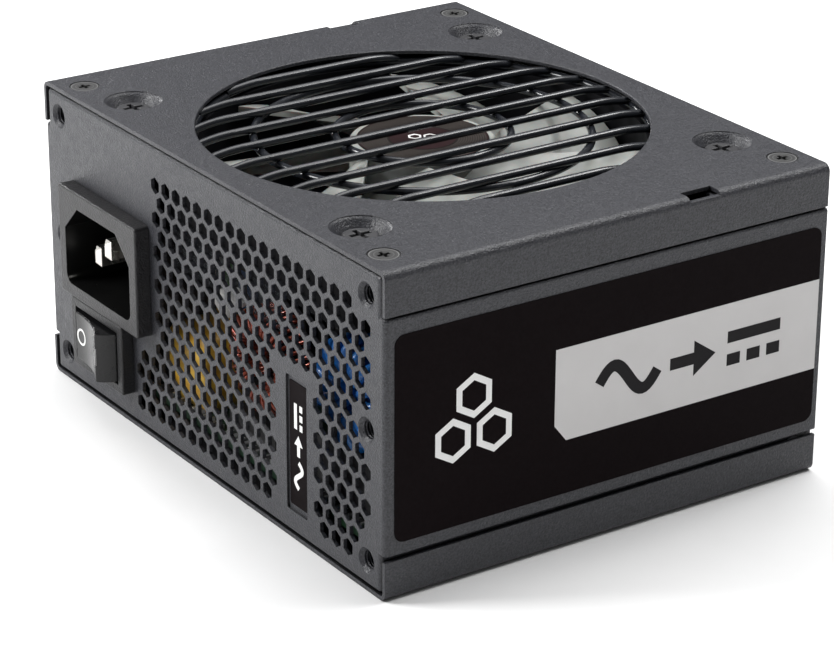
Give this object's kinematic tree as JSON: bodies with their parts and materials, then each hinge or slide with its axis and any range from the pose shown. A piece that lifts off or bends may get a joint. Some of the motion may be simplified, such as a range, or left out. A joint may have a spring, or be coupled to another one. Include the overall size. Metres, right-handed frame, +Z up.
{
  "type": "power supply unit",
  "caption": "Small desktop computer power supply: folded steel case, fan under a wire grille, mains inlet, rocker switch and modular outlet sockets.",
  "frame": {"origin": "middle of the case's base plane, half way between the side faces and half way between the vent wall and the connector panel", "axes": "+X along the case's width, +Y from the vent wall with the inlet towards the connector panel, +Z up through the fan"},
  "size_m": [0.1254, 0.1069, 0.0635],
  "materials": {
    "case_paint": "fine textured powder coat",
    "screw_steel": "black oxide",
    "rivet_aluminium": "plain",
    "label_film": "printed satin film",
    "fan_plastic": "moulded satin",
    "rotor_plastic": "frosted moulded",
    "grille_wire": "gloss black",
    "bearing_bronze": "sintered",
    "lamination_steel": "stamped",
    "magnet": "bonded ferrite",
    "shaft_steel": "ground",
    "hub_film": "printed film",
    "inlet_plastic": "moulded",
    "blade_plate": "nickel plated",
    "switch_plastic": "moulded",
    "terminal_brass": "tinned",
    "lead_sleeve": "extruded",
    "board_laminate": "glass epoxy",
    "insulation_film": "film",
    "socket_plastic": "moulded",
    "contact_gold": "plated",
    "capacitor_yellow": "taped",
    "ferrite": "coated core",
    "copper_wire": "enamelled copper",
    "blue_wire": "sleeved wire",
    "transformer_tape": "taped winding",
    "base_plastic": "moulded",
    "component_black": "moulded",
    "can_sleeve": "sleeved can",
    "can_aluminium": "drawn can",
    "heatsink_aluminium": "extruded",
    "clear_film": "clear film"
  },
  "bodies": {
    "chassis": {"top_cover": "case_paint", "bottom_tray": "case_paint", "main_frame": "case_paint", "connector_panel": "case_paint", "panel_rivets": "rivet_aluminium", "cover_screws": "screw_steel", "tray_screws": "screw_steel", "fan_screws": "screw_steel", "side_label_right": "label_film", "side_label_left": "label_film", "badge_label": "label_film", "fan_frame": "fan_plastic", "fan_bearing": "bearing_bronze", "fan_stator": "lamination_steel", "fan_grille": "grille_wire", "inlet_housing": "inlet_plastic", "inlet_pins": "blade_plate", "live_lead": "lead_sleeve", "earth_lead": "lead_sleeve", "neutral_lead": "lead_sleeve", "switch_frame": "switch_plastic", "switch_terminals": "terminal_brass", "main_board": "board_laminate", "insulation_sheet": "insulation_film", "standoffs": "terminal_brass", "board_screws": "screw_steel", "modular_board": "board_laminate", "socket_pins": "contact_gold", "x_capacitor": "capacitor_yellow", "line_choke_core": "ferrite", "line_choke_winding": "copper_wire", "filter_choke_core": "ferrite", "filter_choke_winding": "blue_wire", "choke_bases": "base_plastic", "relay": "component_black", "bulk_capacitor": "can_sleeve", "bridge_rectifier": "component_black", "primary_heatsink": "heatsink_aluminium", "power_transistors": "component_black", "boost_choke_core": "ferrite", "boost_choke_winding": "copper_wire", "transformer_core": "ferrite", "transformer_winding": "transformer_tape", "output_capacitors": "can_aluminium", "secondary_heatsink": "heatsink_aluminium", "control_board": "board_laminate", "air_baffle": "clear_film", "socket_18_pin": "socket_plastic", "socket_10_pin": "socket_plastic", "socket_drives_low": "socket_plastic", "socket_8_pin_left": "socket_plastic", "socket_8_pin_middle": "socket_plastic", "socket_8_pin_right": "socket_plastic", "socket_drives_high": "socket_plastic"},
    "fan_rotor": {"rotor": "rotor_plastic", "rotor_shaft": "shaft_steel", "rotor_magnet": "magnet", "hub_sticker": "hub_film"},
    "rocker": {"switch_rocker": "switch_plastic"}
  },
  "joints": [
    {"name": "fan_spin", "type": "hinge", "parent": "chassis", "child": "fan_rotor", "pos_m": [0, 0, 0.0525], "axis": [0, 0, 1], "continuous": true},
    {"name": "switch_rock", "type": "hinge", "parent": "chassis", "child": "rocker", "pos_m": [-0.0388, -0.05, 0.01425], "axis": [0, 0, 1], "range_deg": [0, 24]}
  ]
}
